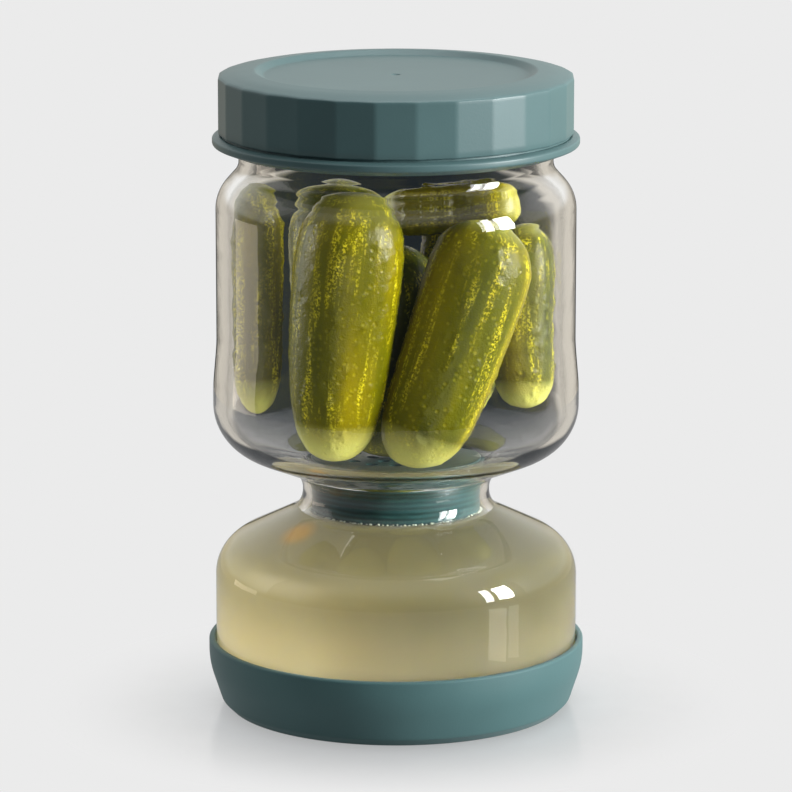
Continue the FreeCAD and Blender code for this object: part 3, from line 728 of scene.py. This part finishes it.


# the lid's polypropylene, wet, with faint moulding rings; darker than the lid's, as painted shade
# for the shade of the waist
def strainerMaterial():
    material, tree = newMaterial("wet_polypropylene_painted_shade")
    place = add(tree, "ShaderNodeTexCoord").outputs["Object"]
    # at scale 1 the wave comes again every pi / 10 metres
    rings = add(tree, "ShaderNodeTexWave", {"bands_direction": "Z"}, Vector=place, Detail=2.0,
                Scale=pi / 10 * scaleFor(strainer["rings"]), Distortion=strainer["waver"])
    tone = add(tree, "ShaderNodeValToRGB", stops=strainer["tones"], Fac=rings.outputs["Fac"])
    shader = add(tree, "ShaderNodeBsdfPrincipled", Base_Color=tone.outputs["Color"],
                 Roughness=strainer["roughness"])
    add(tree, "ShaderNodeOutputMaterial", Surface=shader.outputs["BSDF"])
    return material


# its own CAD shape stays
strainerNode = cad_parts["strainer"]
strainerNode.data.materials.clear()
strainerNode.data.materials.append(strainerMaterial())
print("strainer finished")


pile = {
    "radius": 46.55,    # mm, inner radius of the chamber
    "floor": 78.354,    # height of its corner
    "depth": 10.42,     # from there down to the strainer
    "stretch": 0.9968,
}
# low and high tip, girth, taper, bow bearing in degrees and bow, as in the solids and in shares of
# the chamber's radius; then ripeness, from green to yellow, and a seed
gherkins = {
    "front_left": ((-0.365, -0.60, -0.31), (-0.225, -0.59, 1.53), 0.36, 0.31, 200, 0.02, 0.62, 3),
    "front_right": ((0.065, -0.615, -0.50), (0.565, -0.44, 1.35), 0.325, 0.17, 20, 0.02, 0.6, 8),
    "left": ((-0.826, -0.11, 0.12), (-0.822, -0.07, 1.50), 0.165, 0.10, 90, 0.02, 0.55, 12),
    "right": ((0.78, 0.02, 0.12), (0.785, 0.16, 1.22), 0.215, 0.08, 180, 0.02, 0.6, 21),
    "back_right": ((0.35, 0.57, -0.31), (0.41, 0.57, 1.24), 0.30, 0.15, 0, 0.02, 0.4, 34),
    "back_left": ((-0.33, 0.56, -0.31), (-0.37, 0.59, 1.43), 0.318, 0.15, 180, 0.02, 0.5, 55),
    # the middle one's low ripeness is painted shade: its darker skin keeps the gap between the
    # front pair dark
    "middle": ((-0.05, 0.04, -0.955), (-0.03, 0.05, 1.12), 0.34, 0.15, 200, 0.02, 0.1, 89),
    "top": ((-0.05, 0.28, 1.245), (0.70, -0.23, 1.41), 0.175, 0.1, 90, 0.02, 0.7, 144),
}
form = {
    "rows": 190,
    "columns": 150,
    "bluntness": 5,
    "slim": 0.985,
    # share of the radius, how many round the section, and how far they turn from tip to tip
    "ridges": [(0.022, 3, 0), (0.012, 5, 1.5), (0.012, 2, 5)],
    "waist": (0.01, 9),         # the same for the swelling and thinning along it
    "warts": 170,
    "wartPlaces": (0.04, 0.96),     # share of the length
    "wartSizes": (0.7, 1.5),    # mm
    "wartRises": (0.12, 0.34),  # mm
    "wartFade": 1.5,            # how fast they reach full height off the tips
    "sink": 0.15,               # mm, how much lower the skin lies between them
    "paleAndLitFoot": (0.17, 0.16, 0.9),      # pale low tip, partly its own colour and partly painted light: share of the length, fade and its power
    "paleHead": (0.94, 0.06, 0.25),     # the high tip: from, fade and how pale
    "paleRipe": 2.5,            # greener ones have greener tips
}
skinLook = {
    "tones": [(0.0, "#393e00"), (0.3, "#525000"), (0.55, "#6b6200"), (0.8, "#867800"),
              (1.0, "#988a00")],
    "contrast": 1.5,
    "blotches": (40 / 3, 0.12),     # mm, and how much slower they change lengthwise
    "streaks": (10 / 3, 0.06),
    "streakRange": (0.51, 0.63),
    "specks": 2 / 3,            # mm
    "speckRange": (0.46, 0.62),
    "warts": 25 / 12,           # mm apart
    "wartRange": (0.34, 0.12),
    "wartShare": 0.12,
    "marks": "#cbbf1c",
    "markShare": 0.72,
    "tip": "#cccb6c",
    "relief": (0.25, 0.6),      # strength and depth in mm
    "roughness": 0.24,
    "ior": 1.3,
    "scatter": (0.2, 3),        # weight, and mm that light travels in it
    "scatterColours": (1.0, 0.8, 0.25),
    "shift": (0.37, 0.11),      # m for each seed, so that no two gherkins match
}


# pickled gherkin skin: waxy olive over pale flesh, with yellow warts and lengthwise streaks, wet
# with brine; it reads the skin attribute, the surface laid straight, so its patterns follow a bend
def gherkinMaterial(name, ripeness, seed):
    material, tree = newMaterial(name)
    look = skinLook
    shift = (seed * look["shift"][0], seed * look["shift"][1], 0)
    skin = add(tree, "ShaderNodeAttribute", {"attribute_name": "skin"}).outputs["Vector"]
    moved = add(tree, "ShaderNodeMapping", Vector=skin, Location=shift).outputs["Vector"]
    broad = add(tree, "ShaderNodeMapping", Vector=moved, Scale=(1, 1, look["blotches"][1]))
    blotch = add(tree, "ShaderNodeTexNoise", Vector=broad.outputs["Vector"],
                 Scale=scaleFor(look["blotches"][0]), Detail=2.0)
    fine = add(tree, "ShaderNodeMapping", Vector=moved, Scale=(1, 1, look["streaks"][1]))
    streak = add(tree, "ShaderNodeTexNoise", Vector=fine.outputs["Vector"],
                 Scale=scaleFor(look["streaks"][0]), Detail=4.0, Roughness=0.6)
    speck = add(tree, "ShaderNodeTexNoise", Vector=moved, Scale=scaleFor(look["specks"]),
                Detail=2.0, Roughness=0.7)
    wart = add(tree, "ShaderNodeTexVoronoi", {"feature": "F1"}, Vector=moved,
               Scale=scaleFor(look["warts"]))

    # blotch * contrast + ripeness - 1 picks the olive
    shade = add(tree, "ShaderNodeMath", timesPlus, i0=blotch.outputs["Fac"], i1=look["contrast"],
                i2=ripeness - 1.0)
    olive = add(tree, "ShaderNodeValToRGB", stops=look["tones"], Fac=shade.outputs["Value"])
    # yellow where a streak is speckled, or faintly on a wart
    lines = add(tree, "ShaderNodeMapRange", Value=streak.outputs["Fac"],
                From_Min=look["streakRange"][0], From_Max=look["streakRange"][1])
    dots = add(tree, "ShaderNodeMapRange", Value=speck.outputs["Fac"],
               From_Min=look["speckRange"][0], From_Max=look["speckRange"][1])
    near = add(tree, "ShaderNodeMapRange", Value=wart.outputs["Distance"],
               From_Min=look["wartRange"][0], From_Max=look["wartRange"][1])
    grainy = add(tree, "ShaderNodeMath", times, i0=lines.outputs["Result"],
                 i1=dots.outputs["Result"])
    faint = add(tree, "ShaderNodeMath", times, i0=near.outputs["Result"], i1=look["wartShare"])
    both = add(tree, "ShaderNodeMath", {"operation": "MAXIMUM"}, i0=grainy.outputs["Value"],
               i1=faint.outputs["Value"])
    soft = add(tree, "ShaderNodeMath", times, i0=both.outputs["Value"], i1=look["markShare"])
    marked = add(tree, "ShaderNodeMix", colours, i0=soft.outputs["Value"],
                 i6=olive.outputs["Color"], i7=linear(look["marks"]))
    # paler towards the tips: their own colour, and at the low tip partly painted light
    tip = add(tree, "ShaderNodeAttribute", {"attribute_name": "tip"})
    pale = add(tree, "ShaderNodeMix", colours, i0=tip.outputs["Fac"], i6=marked.outputs[2],
               i7=linear(look["tip"]))

    rough = add(tree, "ShaderNodeMath", {"operation": "SUBTRACT"}, i0=speck.outputs["Fac"],
                i1=near.outputs["Result"])
    dent = add(tree, "ShaderNodeBump", Strength=look["relief"][0], Distance=look["relief"][1] * mm,
               Height=rough.outputs["Value"])
    shader = add(tree, "ShaderNodeBsdfPrincipled", Base_Color=pale.outputs[2],
                 Roughness=look["roughness"], IOR=look["ior"], Subsurface_Weight=look["scatter"][0],
                 Subsurface_Scale=look["scatter"][1] * mm,
                 Subsurface_Radius=look["scatterColours"], Normal=dent.outputs["Normal"])
    add(tree, "ShaderNodeOutputMaterial", Surface=shader.outputs["BSDF"])
    return material


# rise of the warts on the unrolled skin, girth * angle across and length along: each adds
# rise * exp(-(distance / size) ^ 2)
def wartRises(rng, t, around, girth, length):
    count = form["warts"]
    along, across = rng.uniform(*form["wartPlaces"], count), rng.uniform(0, 2 * pi, count)
    sizes, rises = rng.uniform(*form["wartSizes"], count), rng.uniform(*form["wartRises"], count)
    total = 0 * t + 0 * around
    for place, bearing, size, rise in zip(along, across, sizes, rises):
        aside = (around - bearing + pi) % (2 * pi) - pi
        gap = (aside * girth) ** 2 + ((t - place) * length) ** 2
        total += rise * np.exp(-gap / size ** 2)
    return total


# round sections of radius girth * sqrt(1 - |2t - 1| ^ bluntness) at share t of the length, slimmer
# towards t = 0, with soft ridges, cos(how many * angle + turn * t), and warts; their middles bow
# aside by 4 * bow * t * (1 - t), and the whole leans from the low tip to the high one
def makeGherkin(name, spec):
    footShare, headShare, girthShare, taper, bearing, bowShare, ripeness, seed = spec
    rng = np.random.default_rng(seed)
    inner, stretch = pile["radius"], pile["stretch"]
    tips = np.array([footShare, headShare]) * inner
    if footShare[2] < 0:    # it reaches into the funnel over the strainer
        tips[0, 2] = footShare[2] * pile["depth"] / stretch
    span = tips[1] - tips[0]
    length, girth, bow = np.linalg.norm(span), girthShare * inner, bowShare * inner

    t = (1 - np.cos(np.linspace(0, pi, form["rows"])))[:, None] / 2
    around = np.linspace(0, 2 * pi, form["columns"], endpoint=False)[None, :]
    fullness = np.sqrt(np.clip(1 - np.abs(2 * t - 1) ** form["bluntness"], 0, 1))
    radius = girth * fullness * (1 - taper * (1 - t))
    *starts, waistStart = rng.uniform(0, 2 * pi, len(form["ridges"]) + 1)
    ridges = sum(share * np.cos(count * around + start + turn * t)
                 for (share, count, turn), start in zip(form["ridges"], starts))
    ridges = ridges + form["waist"][0] * np.sin(form["waist"][1] * t + waistStart)
    rises = wartRises(rng, t, around, girth, length) * np.minimum(fullness * form["wartFade"], 1)
    radius = radius * (form["slim"] + ridges) + rises - form["sink"] * fullness

    aside = 4 * bow * t * (1 - t)
    straight = np.stack([radius * np.cos(around), radius * np.sin(around),
                         np.broadcast_to(t * length, radius.shape)], axis=-1)
    bowed = straight + aside[..., None] * [np.cos(radians(bearing)), np.sin(radians(bearing)), 0]
    lean = np.array(Vector((0, 0, 1)).rotation_difference(Vector(span)).to_matrix())
    points = (bowed @ lean.T + tips[0]) * [1, 1, stretch] + [0, 0, pile["floor"]]
    piece, used = gridMesh(f"gherkin_{name}_skin", points)

    skin = piece.data.attributes.new("skin", "FLOAT_VECTOR", "POINT")
    skin.data.foreach_set("vector", (straight.reshape(-1, 3)[used] * mm).ravel())
    footEnd, footFade, footPower = form["paleAndLitFoot"]
    headStart, headFade, headPale = form["paleHead"]
    # how pale each ring is; at the low tip this is partly painted light, where light gathers
    paleness = (np.clip((footEnd - t) / footFade, 0, 1) ** footPower
                + headPale * np.clip((t - headStart) / headFade, 0, 1))
    paleness = paleness * min(1, form["paleRipe"] * ripeness)
    tip = piece.data.attributes.new("tip", "FLOAT", "POINT")
    tip.data.foreach_set("value", np.broadcast_to(paleness, radius.shape).reshape(-1)[used])
    material = gherkinMaterial("pickled_skin_" + name, ripeness, seed)
    return finishPiece(piece, material, "gherkin_skin", "gherkin_" + name)


skins = [makeGherkin(name, spec) for name, spec in gherkins.items()]
print("gherkins made")


# what each lamp reaches: the window's panes all but the brine and the table, the rest only theirs
for name in ("window_left_pane", "window_right_pane"):
    lightsOnly(lights[name], [brineFill, *halves], shut=True)
for name in ("rim", "bounce"):
    lightsOnly(lights[name], skins)
for name in ("board", "streak_left", "streak_right"):
    lightsOnly(lights[name], [jarGlass])
lightsOnly(lights["glow"], [brineFill])
print("lamps linked")
